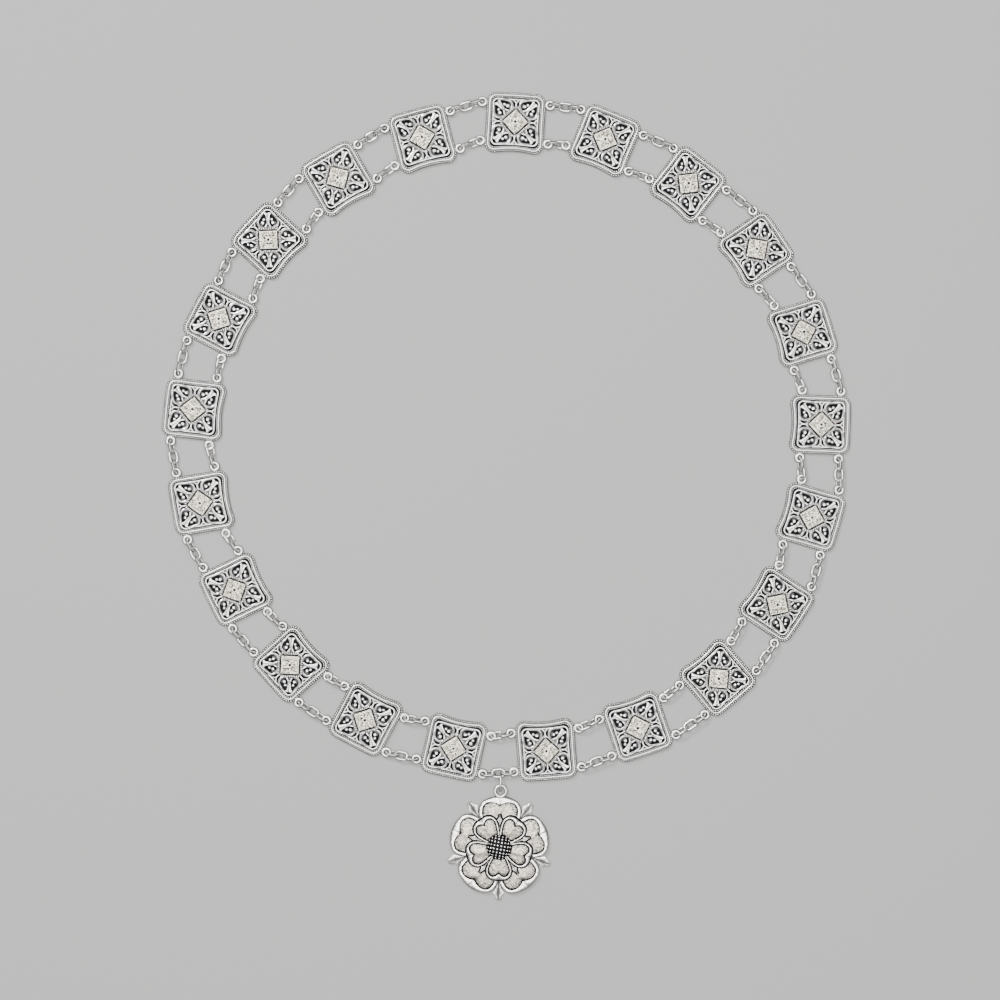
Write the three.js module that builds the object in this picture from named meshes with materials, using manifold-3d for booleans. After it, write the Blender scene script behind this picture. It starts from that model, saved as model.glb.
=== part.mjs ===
// Livery collar: square pierced plaques joined at every side by two short strands of chain
// links, closed into one ring, with a double rose hung from the outer strand at the bottom.
// Millimetres, +Z up. The collar lies on its back, and clockwise is as seen from above.

import * as THREE from 'three';
import { mergeVertices } from 'three/addons/utils/BufferGeometryUtils.js';
import Module from 'manifold-3d';

const wasm = await Module();
wasm.setup();

// Ring of plaques
const plaqueCount = 21;
const plaqueWidth = 30;
const plaqueGap = 17.8;
const clearance = 0.3;

// Plaque plate, border and lozenge
const cornerRadius = 4.5;
const innerEdgeHollow = 1.1;
const plateThickness = 1.2;
const borderHeight = 2.8;
const borderWidth = 2.9;
const fieldCorner = 2.5;
const lozengeBedReach = 8.9;
const lozengeBedHeight = 2.2;
const lozengeReach = 6.9;
const lozengeShoulder = 3.2;
const lozengePeak = 4;

// Cast eyes on the plaque's sides
const eyeRadius = 2.65;
const eyeHoleRadius = 1.25;
const eyeThickness = 1.2;
const eyeHeight = 2;
const eyeReach = 2.3;
const outerEyeRise = 9.4;
const innerEyeDrop = 10.4;

// Chain strands
const strandWidth = 4.4;
const strandHeight = 2.4;
const strandBite = 0.8;
const linkWire = 1.15;
const linkWidth = 5.2;
const linkBite = 0.15;
const pendantStrandLinks = 3;
const linkTipSetback = 0.15;
const edgeLinkLean = 66;

// Jump ring that carries the rose
const jumpWire = 1;
const jumpLength = 9.6;
const jumpHeight = 5.4;

// Rose pendant
const roseThickness = 2.4;
const outerPetal = { reach: 25.7, width: 21.6, length: 19, rim: 1.9 };
const innerPetal = { reach: 16.9, width: 12.9, length: 12.6, rim: 1.2 };
const petalFieldDepth = 0.7;
const innerPetalRise = 1.9;
const roseCoreRadius = 15;
const bossRadius = 6.5;
const bossHeight = 7;
const outerBarb = {
  root: 15, neck: 19, shoulder: 23.8, tip: 27.2,
  neckWidth: 1.4, width: 5.6, tipWidth: 2.2,
};
const innerBarb = {
  root: 4, neck: 12, shoulder: 14.2, tip: 16.6,
  neckWidth: 0.9, width: 3.4, tipWidth: 0.9,
};
const outerBarbThickness = 1.6;
const innerBarbRise = 1.1;
const bailRadius = 2.8;
const bailWire = 1.4;
const bailHeight = 2.3;
const bailSlack = 1.4;
const petalCount = 5;

// Roundness
const tubeSides = 8;
const wireSides = 5;
const linkSegments = 12;
const eyeSides = 8;
const petalSides = 12;
const petalFieldSides = 8;
const bossSides = 12;
const cornerSteps = 3;
const weldDistance = 1e-4;
const cutOverrun = 1;

// How each plaque lies, clockwise from the top: its turn in degrees off the ring's tangent,
// and its push outward and slide clockwise as shares of the plaque's width.
const plaqueLie = [
  { turn: 2, push: 0.06, slide: 0 },
  { turn: 4, push: 0.02, slide: -0.05 },
  { turn: 2.5, push: -0.02, slide: -0.04 },
  { turn: 3, push: -0.02, slide: -0.02 },
  { turn: 3, push: 0, slide: 0.01 },
  { turn: 5, push: -0.02, slide: 0.02 },
  { turn: 2, push: -0.02, slide: 0.02 },
  { turn: 2, push: 0.02, slide: 0.02 },
  { turn: 1, push: 0.06, slide: 0.02 },
  { turn: 6, push: 0.02, slide: 0.02 },
  { turn: 3, push: -0.02, slide: 0.03 },
  { turn: 3, push: -0.02, slide: 0.02 },
  { turn: 1, push: 0, slide: 0.01 },
  { turn: 4, push: -0.02, slide: 0 },
  { turn: 3, push: -0.04, slide: 0 },
  { turn: 2, push: 0, slide: 0 },
  { turn: 1, push: 0.04, slide: 0 },
  { turn: 5, push: -0.02, slide: 0 },
  { turn: 3, push: -0.04, slide: 0 },
  { turn: 3, push: -0.03, slide: 0 },
  { turn: 1, push: 0, slide: 0 },
];

// One corner's gap in the openwork, as shares of the sunk field's half width.
const openworkGap = [
  [0.3, 0.88],
  [0.22, 0.66],
  [0.37, 0.37],
  [0.66, 0.22],
  [0.88, 0.3],
  [0.8, 0.45],
  [0.48, 0.48],
  [0.45, 0.8],
];

// Sizes that follow from the ones above
const stepAngle = 2 * Math.PI / plaqueCount;
const ringRadius = (plaqueWidth + plaqueGap) / 2 / Math.sin(stepAngle / 2);
const halfWidth = plaqueWidth / 2;
const fieldHalfWidth = halfWidth - borderWidth;
const eyeSide = halfWidth + eyeReach;
const linkHalfWidth = (linkWidth - linkWire) / 2;
const strandEnd = eyeRadius + clearance;

const silver = new THREE.MeshStandardMaterial({ color: 0xcdc9c1, metalness: 1, roughness: 0.38 });
const darkSilver = new THREE.MeshStandardMaterial({ color: 0xb4b0a8, metalness: 1, roughness: 0.42 });

function solidFrom(geometry) {
  geometry.deleteAttribute('normal');
  geometry.deleteAttribute('uv');
  const merged = mergeVertices(geometry, weldDistance);
  return new wasm.Manifold(new wasm.Mesh({
    numProp: 3,
    vertProperties: merged.attributes.position.array,
    triVerts: Uint32Array.from(merged.index.array),
  }));
}

function geometryFrom(solid) {
  const { vertProperties, triVerts } = solid.getMesh();
  const geometry = new THREE.BufferGeometry();
  geometry.setAttribute('position', new THREE.BufferAttribute(vertProperties, 3));
  geometry.setIndex(new THREE.BufferAttribute(triVerts, 1));
  geometry.computeVertexNormals();
  return geometry;
}

function united(solids) {
  return solids.reduce((whole, solid) => whole.add(solid));
}

function extruded(shape, bottom, top, curveSegments = 1) {
  const depth = top - bottom;
  const geometry = new THREE.ExtrudeGeometry(shape, { depth, bevelEnabled: false, curveSegments });
  geometry.translate(0, 0, bottom);
  return geometry;
}

function polygon(points) {
  return new THREE.Shape(points.map(([x, y]) => new THREE.Vector2(x, y)));
}

function roundPolygon(radiusX, radiusY, sides, turn = 0) {
  const points = [];
  for (let side = 0; side < sides; side += 1) {
    const angle = turn + 2 * Math.PI * side / sides;
    points.push([radiusX * Math.cos(angle), radiusY * Math.sin(angle)]);
  }
  return points;
}

// Square outline with round corners; its lower edge, towards the wearer's neck, is hollowed.
function plaqueOutline(half, corner, hollow) {
  const shape = new THREE.Shape();
  const lowerEnd = -half - hollow;
  shape.moveTo(-half, half - corner);
  shape.lineTo(-half, lowerEnd + corner);
  shape.quadraticCurveTo(-half, lowerEnd, -half + corner, lowerEnd);
  shape.quadraticCurveTo(0, -half + hollow, half - corner, lowerEnd);
  shape.quadraticCurveTo(half, lowerEnd, half, lowerEnd + corner);
  shape.lineTo(half, half - corner);
  shape.quadraticCurveTo(half, half, half - corner, half);
  shape.lineTo(-half + corner, half);
  shape.quadraticCurveTo(-half, half, -half, half - corner);
  return shape;
}

// Raised lozenge with its corners on the plaque's axes: a low bed, a step up, then a flat pyramid.
function lozengeSolid() {
  const profile = [
    new THREE.Vector2(0, plateThickness / 2),
    new THREE.Vector2(lozengeBedReach, plateThickness / 2),
    new THREE.Vector2(lozengeBedReach, lozengeBedHeight),
    new THREE.Vector2(lozengeReach, lozengeBedHeight),
    new THREE.Vector2(lozengeReach, lozengeShoulder),
    new THREE.Vector2(0, lozengePeak),
  ];
  const geometry = new THREE.LatheGeometry(profile, 4);
  geometry.rotateX(Math.PI / 2);
  return solidFrom(geometry);
}

function openworkSolids() {
  const solids = [];
  for (let quarter = 0; quarter < 4; quarter += 1) {
    const points = openworkGap.map(([x, y]) => [x * fieldHalfWidth, y * fieldHalfWidth]);
    const gap = extruded(polygon(points), -cutOverrun, plateThickness + cutOverrun);
    solids.push(solidFrom(gap.rotateZ(quarter * Math.PI / 2)));
  }
  return solids;
}

function eyeSolid(x, y) {
  const ring = polygon(roundPolygon(eyeRadius, eyeRadius, eyeSides, Math.PI / eyeSides));
  const holeRadius = eyeHoleRadius / Math.cos(Math.PI / eyeSides);
  ring.holes.push(polygon(roundPolygon(holeRadius, holeRadius, eyeSides, Math.PI / eyeSides)));
  const geometry = extruded(ring, eyeHeight - eyeThickness / 2, eyeHeight + eyeThickness / 2);
  geometry.translate(x, y, 0);
  return solidFrom(geometry);
}

function eyeOffset(side, row) {
  return new THREE.Vector2(side * eyeSide, row === 'outer' ? outerEyeRise : -innerEyeDrop);
}

function plaqueSolid() {
  const outline = plaqueOutline(halfWidth, cornerRadius, innerEdgeHollow);
  const plate = solidFrom(extruded(outline, 0, borderHeight, cornerSteps));
  const fieldOutline = plaqueOutline(fieldHalfWidth, fieldCorner, innerEdgeHollow / 2);
  const field = solidFrom(extruded(fieldOutline, plateThickness, borderHeight + cutOverrun));
  const openwork = united(openworkSolids());
  const eyes = [];
  for (const side of [-1, 1]) {
    for (const row of ['outer', 'inner']) {
      const offset = eyeOffset(side, row);
      eyes.push(eyeSolid(offset.x, offset.y));
    }
  }
  return united([plate.subtract(field), lozengeSolid(), ...eyes]).subtract(openwork);
}

// A strand's outer form: a tube with many sides along a straight path.
function strandGeometry(start, end) {
  const section = polygon(roundPolygon(strandWidth / 2, strandWidth / 2, tubeSides, Math.PI / tubeSides));
  const path = new THREE.LineCurve3(
    new THREE.Vector3(start.x, start.y, strandHeight), new THREE.Vector3(end.x, end.y, strandHeight));
  return new THREE.ExtrudeGeometry(section, { steps: 1, bevelEnabled: false, extrudePath: path });
}

function plaquePlace(index) {
  const lie = plaqueLie[index % plaqueLie.length];
  const angle = index * stepAngle;
  const radius = ringRadius + lie.push * plaqueWidth;
  const slide = lie.slide * plaqueWidth;
  return {
    centre: new THREE.Vector2(
      radius * Math.sin(angle) + slide * Math.cos(angle), radius * Math.cos(angle) - slide * Math.sin(angle)),
    turn: -angle - THREE.MathUtils.degToRad(lie.turn),
  };
}

function eyePlace(index, side, row) {
  const place = plaquePlace(index);
  const offset = eyeOffset(side, row).rotateAround(new THREE.Vector2(), place.turn);
  return offset.add(place.centre);
}

function strandEnds(index, row, startGap, endGap) {
  const start = eyePlace(index, 1, row);
  const end = eyePlace((index + 1) % plaqueCount, -1, row);
  const along = end.clone().sub(start).normalize();
  return {
    start: start.addScaledVector(along, startGap),
    end: end.addScaledVector(along, -endGap),
  };
}

// The inner strand starts inside the rim of the plaque's own eye and is one with it.
function plaqueWithInnerStrand(index, plainPlaque) {
  const place = plaquePlace(index);
  const { start, end } = strandEnds(index, 'inner', eyeRadius - strandBite, strandEnd);
  const origin = new THREE.Vector2();
  const strand = strandGeometry(
    start.sub(place.centre).rotateAround(origin, -place.turn),
    end.sub(place.centre).rotateAround(origin, -place.turn));
  const mesh = new THREE.Mesh(geometryFrom(plainPlaque.add(solidFrom(strand))), silver);
  mesh.position.set(place.centre.x, place.centre.y, 0);
  mesh.rotation.z = place.turn;
  return mesh;
}

// Closed wire ring through the given centre line points, in order.
function wireRing(centreLine, wire) {
  const path = new THREE.CatmullRomCurve3(centreLine, true, 'centripetal');
  const rings = centreLine.length;
  const frames = path.computeFrenetFrames(rings, true);
  const positions = [];
  const indices = [];
  for (let ring = 0; ring < rings; ring += 1) {
    for (let side = 0; side < wireSides; side += 1) {
      const angle = 2 * Math.PI * side / wireSides;
      const point = centreLine[ring].clone()
        .addScaledVector(frames.normals[ring], Math.cos(angle) * wire / 2)
        .addScaledVector(frames.binormals[ring], Math.sin(angle) * wire / 2);
      positions.push(point.x, point.y, point.z);
      const next = (ring + 1) % rings;
      const nextSide = (side + 1) % wireSides;
      const corners = [ring * wireSides + side, next * wireSides + side,
        next * wireSides + nextSide, ring * wireSides + nextSide];
      indices.push(corners[0], corners[3], corners[2], corners[0], corners[2], corners[1]);
    }
  }
  const geometry = new THREE.BufferGeometry();
  geometry.setAttribute('position', new THREE.Float32BufferAttribute(positions, 3));
  geometry.setIndex(indices);
  return geometry;
}

// A long link's centre line: two straight sides and two half-round ends, in the XY plane.
function linkCentreLine(length) {
  const points = [];
  const straight = length / 2 - linkHalfWidth;
  for (let step = 0; step < linkSegments; step += 1) {
    const angle = 2 * Math.PI * (step + 0.5) / linkSegments;
    const end = Math.sign(Math.cos(angle)) * straight;
    points.push(new THREE.Vector3(end + linkHalfWidth * Math.cos(angle), linkHalfWidth * Math.sin(angle), 0));
  }
  return points;
}

// Interlocked links between the two eyes of the pendant's gap. The outermost ones pass through
// the eyes; the middle one lies flat and holds the jump ring.
function pendantStrand(index) {
  const { start, end } = strandEnds(index, 'outer', -linkTipSetback, -linkTipSetback);
  const span = start.distanceTo(end);
  const bite = linkWire - linkBite;
  const length = (span + (pendantStrandLinks - 1) * bite) / pendantStrandLinks;
  const heading = Math.atan2(end.y - start.y, end.x - start.x);
  const along = end.clone().sub(start).normalize();
  const links = [];
  for (let link = 0; link < pendantStrandLinks; link += 1) {
    const lean = link % 2 === 0 ? THREE.MathUtils.degToRad(edgeLinkLean) : 0;
    const centre = start.clone().addScaledVector(along, length / 2 + link * (length - bite));
    const geometry = wireRing(linkCentreLine(length), linkWire);
    geometry.rotateX(lean);
    geometry.rotateZ(heading);
    geometry.translate(centre.x, centre.y, strandHeight);
    links.push(solidFrom(geometry));
  }
  return { solid: united(links), centre: start.clone().add(end).multiplyScalar(0.5) };
}

function petalGeometry(petal, inset, sides, bottom, top) {
  const points = roundPolygon(petal.width / 2 - inset, petal.length / 2 - inset, sides, Math.PI / sides);
  const geometry = extruded(polygon(points), bottom, top);
  geometry.translate(0, petal.reach - petal.length / 2, 0);
  return geometry;
}

function barbGeometry(barb, bottom, top) {
  const half = [
    [barb.neckWidth / 2, barb.root],
    [barb.neckWidth / 2, barb.neck],
    [barb.width / 2, barb.shoulder],
    [barb.tipWidth / 2, barb.tip],
  ];
  const points = [...half, ...half.map(([x, y]) => [-x, y]).reverse()];
  return extruded(polygon(points), bottom, top);
}

function bossSolid() {
  const dome = bossHeight - roseThickness;
  const buried = roseThickness / 2;
  const profile = [new THREE.Vector2(0, buried), new THREE.Vector2(bossRadius, buried)];
  const steps = 4;
  for (let step = 0; step <= steps; step += 1) {
    const angle = Math.PI / 2 * step / steps;
    const radius = step === steps ? 0 : bossRadius * Math.cos(angle);
    profile.push(new THREE.Vector2(radius, roseThickness + dome * Math.sin(angle)));
  }
  const geometry = new THREE.LatheGeometry(profile, bossSides);
  geometry.rotateX(Math.PI / 2);
  return solidFrom(geometry);
}

// Five outer petals, five inner ones between them, barbs in the joins, a domed boss and the bail.
function roseSolid() {
  const outerTop = roseThickness;
  const outerFloor = outerTop - petalFieldDepth;
  const innerTop = roseThickness + innerPetalRise;
  const innerFloor = innerTop - petalFieldDepth;
  const buried = roseThickness / 2;
  const core = roundPolygon(roseCoreRadius, roseCoreRadius, petalCount * 2);
  const outerLayer = [extruded(polygon(core), 0, outerFloor)];
  const outerFields = [];
  const innerLayer = [];
  const innerFields = [];
  for (let index = 0; index < petalCount; index += 1) {
    const onAxis = 2 * Math.PI * index / petalCount;
    const between = onAxis + Math.PI / petalCount;
    outerLayer.push(petalGeometry(outerPetal, 0, petalSides, 0, outerTop).rotateZ(onAxis));
    outerLayer.push(barbGeometry(outerBarb, 0, outerBarbThickness).rotateZ(between));
    innerLayer.push(petalGeometry(innerPetal, 0, petalSides, buried, innerTop).rotateZ(between));
    innerLayer.push(barbGeometry(innerBarb, buried, outerTop + innerBarbRise).rotateZ(onAxis));
    const outerField = petalGeometry(
      outerPetal, outerPetal.rim, petalFieldSides, outerFloor, outerTop + cutOverrun);
    outerFields.push(outerField.rotateZ(onAxis));
    const innerField = petalGeometry(
      innerPetal, innerPetal.rim, petalFieldSides, innerFloor, innerTop + cutOverrun);
    innerFields.push(innerField.rotateZ(between));
  }
  const bail = new THREE.TorusGeometry(bailRadius, bailWire / 2, wireSides, linkSegments);
  bail.translate(0, outerPetal.reach + bailRadius, bailHeight);
  return united(outerLayer.map(solidFrom))
    .subtract(united(outerFields.map(solidFrom)))
    .add(united(innerLayer.map(solidFrom)))
    .subtract(united(innerFields.map(solidFrom)))
    .add(bossSolid())
    .add(solidFrom(bail));
}

const collar = new THREE.Group();

function addPiece(mesh, name) {
  mesh.name = name;
  collar.add(mesh);
}

const pendantGap = Math.floor(plaqueCount / 2);
const plainPlaque = plaqueSolid();
for (let index = 0; index < plaqueCount; index += 1) {
  const number = String(index + 1).padStart(2, '0');
  addPiece(plaqueWithInnerStrand(index, plainPlaque), `plaque_${number}`);
  if (index !== pendantGap) {
    const { start, end } = strandEnds(index, 'outer', strandEnd, strandEnd);
    addPiece(new THREE.Mesh(strandGeometry(start, end), silver), `outer_strand_${number}`);
  }
}

const carrier = pendantStrand(pendantGap);
addPiece(new THREE.Mesh(geometryFrom(carrier.solid), silver), 'pendant_strand');

const jumpReach = { along: (jumpLength - jumpWire) / 2, up: (jumpHeight - jumpWire) / 2 };
const jumpInnerEndY = carrier.centre.y - linkHalfWidth + linkWire / 2 + clearance + jumpWire / 2;
const jumpCentreY = jumpInnerEndY - jumpReach.along;
const jumpLine = [];
for (let step = 0; step < linkSegments; step += 1) {
  const angle = 2 * Math.PI * step / linkSegments;
  jumpLine.push(new THREE.Vector3(0, jumpReach.along * Math.cos(angle), jumpReach.up * Math.sin(angle)));
}
const jumpRing = new THREE.Mesh(wireRing(jumpLine, jumpWire), silver);
jumpRing.position.set(0, jumpCentreY, jumpHeight / 2);
addPiece(jumpRing, 'jump_ring');

const ringEndY = jumpCentreY - jumpReach.along;
const bailCentreY = ringEndY + bailSlack + jumpWire / 2 + clearance + bailWire / 2 - bailRadius;
const rose = new THREE.Mesh(geometryFrom(roseSolid()), darkSilver);
rose.position.set(0, bailCentreY - bailRadius - outerPetal.reach, 0);
addPiece(rose, 'rose_pendant');

// Origin: middle of the collar's box, at the surface that it lies on.
const box = new THREE.Box3().setFromObject(collar);
const middle = box.getCenter(new THREE.Vector3());
collar.position.set(-middle.x, -middle.y, -box.min.z);
collar.updateMatrixWorld(true);

export default collar;
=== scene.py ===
"""Livery collar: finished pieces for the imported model, with floor, light and camera."""

import math

import bmesh
import bpy
from mathutils import Euler, Matrix, Vector
from mathutils.bvhtree import BVHTree
from mathutils.geometry import tessellate_polygon


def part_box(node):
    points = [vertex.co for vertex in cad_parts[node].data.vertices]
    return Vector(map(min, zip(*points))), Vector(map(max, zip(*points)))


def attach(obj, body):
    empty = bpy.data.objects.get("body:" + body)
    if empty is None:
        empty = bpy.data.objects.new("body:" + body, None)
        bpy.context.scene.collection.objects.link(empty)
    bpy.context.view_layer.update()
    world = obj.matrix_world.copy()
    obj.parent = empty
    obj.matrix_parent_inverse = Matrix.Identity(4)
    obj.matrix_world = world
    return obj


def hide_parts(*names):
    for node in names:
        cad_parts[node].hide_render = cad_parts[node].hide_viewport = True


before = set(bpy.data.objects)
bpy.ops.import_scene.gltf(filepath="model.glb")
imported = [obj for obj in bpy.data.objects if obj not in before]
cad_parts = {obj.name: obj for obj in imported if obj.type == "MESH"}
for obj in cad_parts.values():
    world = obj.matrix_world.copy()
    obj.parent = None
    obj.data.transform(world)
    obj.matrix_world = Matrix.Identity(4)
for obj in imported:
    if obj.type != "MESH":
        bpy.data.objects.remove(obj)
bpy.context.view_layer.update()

bl_info = {
    "name": "Livery Collar",
    "version": (1, 0, 0),
    "blender": (4, 5, 0),
    "location": "View3D > Sidebar > Collar",
    "description": "Builds the plaques, chain links, jump ring and rose pendant of a livery collar",
    "category": "Add Mesh",
}

MM = 0.001
TAU = 2 * math.pi
SHARP_ANGLE = math.radians(50)
FLOOR_SIZE = 6.0

# How each plaque lies, clockwise from the top: its turn in degrees off the ring's tangent,
# and its push outward and slide clockwise as shares of the plaque's width.
PLAQUE_LIE = (
    (2, 0.06, 0), (4, 0.02, -0.05), (2.5, -0.02, -0.04), (3, -0.02, -0.02), (3, 0, 0.01),
    (5, -0.02, 0.02), (2, -0.02, 0.02), (2, 0.02, 0.02), (1, 0.06, 0.02), (6, 0.02, 0.02),
    (3, -0.02, 0.03), (3, -0.02, 0.02), (1, 0, 0.01), (4, -0.02, 0), (3, -0.04, 0),
    (2, 0, 0), (1, 0.04, 0), (5, -0.02, 0), (3, -0.04, 0), (3, -0.03, 0),
    (1, 0, 0),
)

# Cross sections of the plaque's metal: offset outward, height and tarnish.
BORDER_SECTION = (
    (1.3, 0, 0.5), (1.58, 0.3, 0.5), (1.6, 1.5, 0.5), (1.5, 1.8, 0.95), (0.54, 1.85, 1),
    (0.5, 2.35, 0.7), (0.32, 2.7, 0.32), (0, 2.8, 0), (-0.28, 2.7, 0.32), (-0.44, 2.35, 0.7),
    (-0.48, 1.85, 1), (-1.16, 1.75, 1), (-1.2, 1.3, 1), (-1.5, 1.15, 1), (-1.5, 0, 0.5),
)
RIM_SECTION = (
    (0.32, 0.9, 1), (0.3, 1.8, 0.6), (0.18, 2.15, 0.2), (0, 2.2, 0.15), (-0.18, 2.15, 0.2),
    (-0.3, 1.8, 0.6), (-0.32, 0.9, 1),
)
# Shares of the band's half width and of its height.
GROOVED_SECTION = (
    (1.05, 0, 1), (1, 0.62, 0.45), (0.84, 0.95, 0), (0.45, 1, 0), (0.22, 0.82, 0.45), (0, 0.76, 0.6),
    (-0.22, 0.82, 0.45), (-0.45, 1, 0), (-0.84, 0.95, 0), (-1, 0.62, 0.45), (-1.05, 0, 1),
)
ROUND_SECTION = (
    (1, 0, 1), (0.95, 0.6, 0.4), (0.6, 0.94, 0), (0, 1, 0), (-0.6, 0.94, 0),
    (-0.95, 0.6, 0.4), (-1, 0, 1),
)
RIBBED_SECTION = (
    (1, 0, 0.9), (0.94, 0.55, 0.15), (0.6, 0.66, 0.3), (0.2, 0.62, 0.55), (0, 1, 0),
    (-0.2, 0.62, 0.55), (-0.6, 0.66, 0.3), (-0.94, 0.55, 0.15), (-1, 0, 0.9),
)

# Outlines of the plaque in millimetres: inset from its side, corner radius, and how far the sides, the top
# and the lower edge bow inward.
RIDGE_LINE = (1.6, 3.4, 0.1, -0.15, 1.05)
RIM_LINE = (3.62, 2.3, 0.3, 0.15, 0.42)
PLATE_LINE = (2.2, 2.8, 0.1, -0.1, 0.7)
OUTER_BEAD_LINE = (0.58, 4.4, 0.1, -0.15, 1.1)
INNER_BEAD_LINE = (2.45, 2.8, 0.15, -0.1, 0.85)
CORNER_STEPS = 6
SIDE_STEPS = 14
PLATE_SIDE_STEPS = 6
BEAD_SIDE_STEPS = 24

# One eighth of the openwork, between the plaque's upward axis and its diagonal, in millimetres.
HEART_BAND = (
    (8.9, 11.1), (7.2, 11.05), (5.3, 11.15), (3.5, 10.8), (2.35, 9.7), (1.95, 8.3), (2.3, 7.0), (2.9, 6.1),
)
HEART_WIDTHS = (0.16, 0.34, 0.5, 0.58, 0.58, 0.56, 0.5, 0.42)
BATON_ARM = ((6.1, 5.9), (5.4, 6.25), (4.55, 5.85), (3.6, 5.75))
STEM_ARM = ((0, 9.5), (0.45, 10.15), (1.4, 10.95))
VOLUTE_HOLE = (
    (4.3, 9.25), (3.65, 9.3), (3.1, 8.75), (2.95, 7.9), (3.25, 7.2), (3.5, 7.4), (3.35, 7.95), (3.5, 8.55),
    (3.9, 8.9),
)
HEART_HOLE = ((5.2, 5.2), (4.1, 5.35), (4.35, 4.75), (4.75, 4.35), (5.35, 4.1))
STEM = ((0, 9.75), (0, 9.0), (0, 8.0), (0, 6.9))
STEM_WIDTHS = (0.3, 0.32, 0.3, 0.3)
# Reach along the diagonal and half width of the baton.
BATON = ((5.5, 0.6), (6.4, 0.72), (7.8, 0.98), (9.2, 1.3), (9.75, 1.42))
OPENWORK_FOOT = 0.9
BAND_STEPS = 5
# Reach, height and tarnish of the lozenge's corners, from its foot to its top.
LOZENGE_LEVELS = (
    (6.45, 1.2, 0.9), (6.4, 2.6, 0.2), (6.2, 3.0, 0.05), (5.7, 3.04, 0.48), (3.0, 3.2, 0.56), (0.9, 3.3, 0.5),
)
EYE_LIFT = 2.0

# Petals: half outlines of the edge and of the sunk field, from the root to the middle of the outer edge,
# then four heights and the width of the dark line round the field as a share of the petal's reach.
OUTER_PETAL = {
    "edge": ((0, 6.0), (5.4, 7.4), (9.0, 11.4), (10.5, 14.6), (10.95, 17.8), (10.4, 20.7), (8.6, 23.0),
             (5.3, 24.7), (2.6, 25.4), (0, 25.6)),
    "field": ((0, 7.6), (4.0, 9.0), (7.1, 12.0), (8.55, 14.9), (9.05, 17.7), (8.8, 19.9), (7.4, 21.7),
              (4.8, 22.5), (1.9, 21.95), (0, 21.0)),
    "base": 0.0, "rim": 2.9, "floor": 1.5, "crown": 2.1, "line": 0.028,
}
INNER_PETAL = {
    "edge": ((0, 4.2), (3.2, 4.7), (5.0, 7.4), (6.3, 10.6), (6.45, 13.2), (5.2, 15.6), (3.2, 16.7),
             (1.5, 16.95), (0, 16.8)),
    "field": ((0, 4.9), (2.6, 5.3), (4.2, 7.8), (5.4, 10.8), (5.5, 12.8), (4.3, 14.5), (2.7, 14.9),
              (1.1, 14.3), (0, 13.4)),
    "base": 1.2, "rim": 4.3, "floor": 3.0, "crown": 3.5, "line": 0.045,
}
# Barbs: distance from the rose's middle and half width.
OUTER_BARB = (
    (16.5, 0.5), (19.0, 0.8), (21.4, 1.7), (23.2, 2.75), (23.9, 2.85), (24.8, 1.9), (26.0, 1.45),
    (26.9, 1.35), (27.2, 0.9),
)
INNER_BARB = (
    (5.6, 0.34), (11.0, 0.42), (12.5, 0.7), (13.4, 1.45), (13.8, 1.5), (14.5, 0.8), (15.5, 0.5), (16.6, 0.25),
)


class CollarSizes(bpy.types.PropertyGroup):
    """Sizes that the collar's pieces follow."""

    plaque_count: bpy.props.IntProperty(
        name="Plaques", description="Number of plaques in the ring", default=21, min=5)
    plaque_width: bpy.props.FloatProperty(
        name="Plaque width", description="Width of a plaque across its sides", default=0.030, unit="LENGTH")
    plaque_gap: bpy.props.FloatProperty(
        name="Plaque gap", description="Gap between two plaques along the ring", default=0.0178,
        unit="LENGTH")
    eye_reach: bpy.props.FloatProperty(
        name="Eye reach", description="From a plaque's side to the middle of its eyes", default=0.0023,
        unit="LENGTH")
    outer_eye_rise: bpy.props.FloatProperty(
        name="Outer eye rise", description="From a plaque's middle out to its outer eyes", default=0.0094,
        unit="LENGTH")
    inner_eye_drop: bpy.props.FloatProperty(
        name="Inner eye drop", description="From a plaque's middle in to its inner eyes", default=0.0104,
        unit="LENGTH")
    eye_wire: bpy.props.FloatProperty(
        name="Eye wire", description="Thickness of an eye's ring", default=0.0016, unit="LENGTH")
    eye_width: bpy.props.FloatProperty(
        name="Eye width", description="Outside width of an eye", default=0.0054, unit="LENGTH")
    link_wire: bpy.props.FloatProperty(
        name="Link wire", description="Thickness of a chain link's wire", default=0.0013, unit="LENGTH")
    link_width: bpy.props.FloatProperty(
        name="Link width", description="Outside width of a chain link", default=0.0052, unit="LENGTH")
    bead_pitch: bpy.props.FloatProperty(
        name="Bead pitch", description="Spacing of the beads along the border", default=0.0009, unit="LENGTH")
    boss_radius: bpy.props.FloatProperty(
        name="Boss radius", description="Radius of the rose's domed middle", default=0.0068, unit="LENGTH")


class CollarColours(bpy.types.PropertyGroup):
    """Colours of the collar's finishes and of the floor."""

    silver: bpy.props.FloatVectorProperty(
        name="Silver", description="Polished ridges and wire", default=(0.88, 0.86, 0.83), subtype="COLOR",
        min=0, max=1)
    cream: bpy.props.FloatVectorProperty(
        name="Cream", description="Stippled fields of the petals", default=(0.55, 0.46, 0.34),
        subtype="COLOR", min=0, max=1)
    ivory: bpy.props.FloatVectorProperty(
        name="Ivory", description="Pale fields of the lozenges", default=(0.88, 0.82, 0.70), subtype="COLOR",
        min=0, max=1)
    # The oxide colour blackens the recesses and also paints the shade on wire flanks, petal fields and corner
    # fillets.
    oxide_and_shade: bpy.props.FloatVectorProperty(
        name="Oxide And Shade", description="Blackened recesses", default=(0.012, 0.012, 0.013), subtype="COLOR",
        min=0, max=1)
    floor: bpy.props.FloatVectorProperty(
        name="Floor", description="The pale floor", default=(0.38, 0.38, 0.373), subtype="COLOR",
        min=0, max=1)


def sizes():
    return bpy.context.scene.collar_sizes


def colours():
    return bpy.context.scene.collar_colours


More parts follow.
